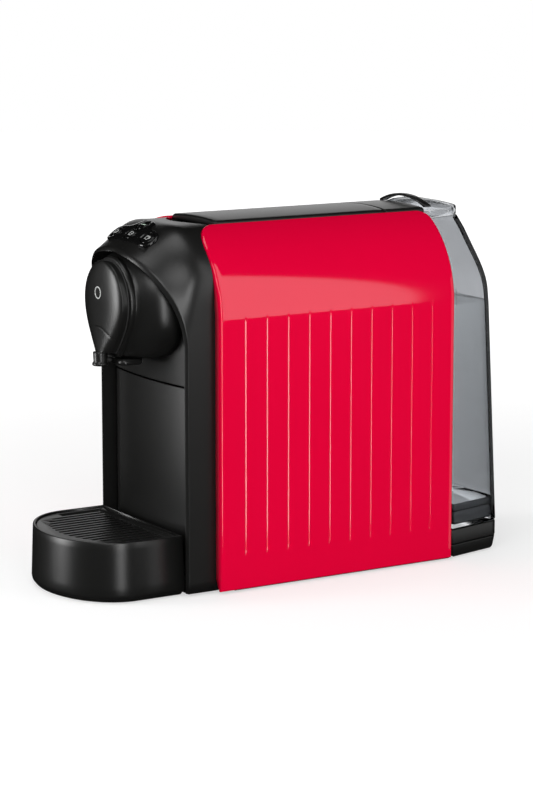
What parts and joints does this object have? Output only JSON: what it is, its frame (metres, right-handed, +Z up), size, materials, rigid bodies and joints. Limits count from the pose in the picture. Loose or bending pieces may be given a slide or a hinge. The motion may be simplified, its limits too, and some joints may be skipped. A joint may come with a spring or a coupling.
{
  "type": "espresso machine",
  "caption": "Compact capsule espresso machine with a lift-up lever, push buttons, a drip drawer with cup grid and a lift-off water tank.",
  "frame": {"origin": "on the floor under the middle of the outline", "axes": "+Z up, front of the machine towards -Y, +X the machine's right-hand side when seen from behind the front"},
  "size_m": [0.136, 0.34, 0.252],
  "materials": {
    "red_gloss": "high gloss",
    "black_satin": "satin",
    "black_gloss": "high gloss",
    "dark_plastic": "matte",
    "white_plastic": "satin",
    "smoke_clear": "clear smoked plastic, gloss",
    "rubber": "matte",
    "silicone": "translucent silicone",
    "steel": "machined",
    "aluminium": "die cast",
    "board": "lacquered board"
  },
  "bodies": {
    "machine": {"side_panel_left": "red_gloss", "side_panel_right": "red_gloss", "base_plate": "black_satin", "foot_1": "rubber", "foot_2": "rubber", "foot_3": "rubber", "foot_4": "rubber", "tank_dock": "black_satin", "dock_coupling": "silicone", "cord_gland": "rubber", "rear_wall": "black_satin", "front_housing": "black_satin", "column_panel": "black_satin", "head_housing": "black_satin", "outlet_rim": "black_satin", "outlet_cover": "black_satin", "spout_nozzle": "black_satin", "button_panel": "black_gloss", "lever_deck": "dark_plastic", "capsule_chute": "dark_plastic", "lever_shaft": "steel", "top_rear_cover": "black_satin", "brew_frame": "aluminium", "injector_head": "dark_plastic", "injector_seal": "silicone", "water_needles": "steel", "outlet_funnel": "silicone", "thermoblock": "aluminium", "thermostat": "white_plastic", "pump": "steel", "pump_mount_front": "rubber", "pump_mount_rear": "rubber", "flow_meter": "white_plastic", "control_board": "board", "hose_tank": "silicone", "hose_meter": "silicone", "hose_pump": "silicone", "hose_boiler": "silicone"},
    "lever": {"lever": "black_satin", "lever_crank_left": "steel", "lever_crank_right": "steel"},
    "carriage": {"brew_carriage": "dark_plastic"},
    "key_short": {"button_short": "black_gloss"},
    "key_medium": {"button_medium": "black_gloss"},
    "key_long": {"button_long": "black_gloss"},
    "key_power": {"button_power": "black_gloss"},
    "drawer": {"drip_tray": "black_satin", "grid_rest": "black_satin", "capsule_bin": "black_satin"},
    "grid": {"drip_grid": "black_satin"},
    "tank": {"water_tank": "smoke_clear", "tank_filter": "white_plastic", "tank_valve": "white_plastic"},
    "lid": {"tank_lid": "smoke_clear", "lid_tab": "black_satin"}
  },
  "joints": [
    {"name": "lever_hinge", "type": "hinge", "parent": "machine", "child": "lever", "pos_m": [0, 0.076, 0.238], "axis": [-1, 0, 0], "range_deg": [0, 75]},
    {"name": "carriage_slide", "type": "slide", "parent": "machine", "child": "carriage", "axis": [0, -1, 0], "range_m": [0, 0.0238]},
    {"name": "press_short", "type": "slide", "parent": "machine", "child": "key_short", "axis": [0, 0.515, -0.8572], "range_m": [0, 0.001], "stiffness_N_per_m": 400},
    {"name": "press_medium", "type": "slide", "parent": "machine", "child": "key_medium", "axis": [0, 0.515, -0.8572], "range_m": [0, 0.001], "stiffness_N_per_m": 400},
    {"name": "press_long", "type": "slide", "parent": "machine", "child": "key_long", "axis": [0, 0.515, -0.8572], "range_m": [0, 0.001], "stiffness_N_per_m": 400},
    {"name": "press_power", "type": "slide", "parent": "machine", "child": "key_power", "axis": [0, 0.515, -0.8572], "range_m": [0, 0.001], "stiffness_N_per_m": 400},
    {"name": "drawer_pull", "type": "slide", "parent": "machine", "child": "drawer", "axis": [0, -1, 0], "range_m": [0, 0.1]},
    {"name": "grid_lift", "type": "slide", "parent": "drawer", "child": "grid", "axis": [0, 0, 1], "range_m": [0, 0.05]},
    {"name": "tank_lift", "type": "slide", "parent": "machine", "child": "tank", "axis": [0, 0, 1], "range_m": [0, 0.08]},
    {"name": "lid_hinge", "type": "hinge", "parent": "tank", "child": "lid", "pos_m": [0, 0.1485, 0.2404], "axis": [-1, 0, 0], "range_deg": [0, 90]}
  ],
  "couplings": [
    {"joint": "carriage_slide", "follows": "lever_hinge", "m_per_rad": 0.018137}
  ]
}
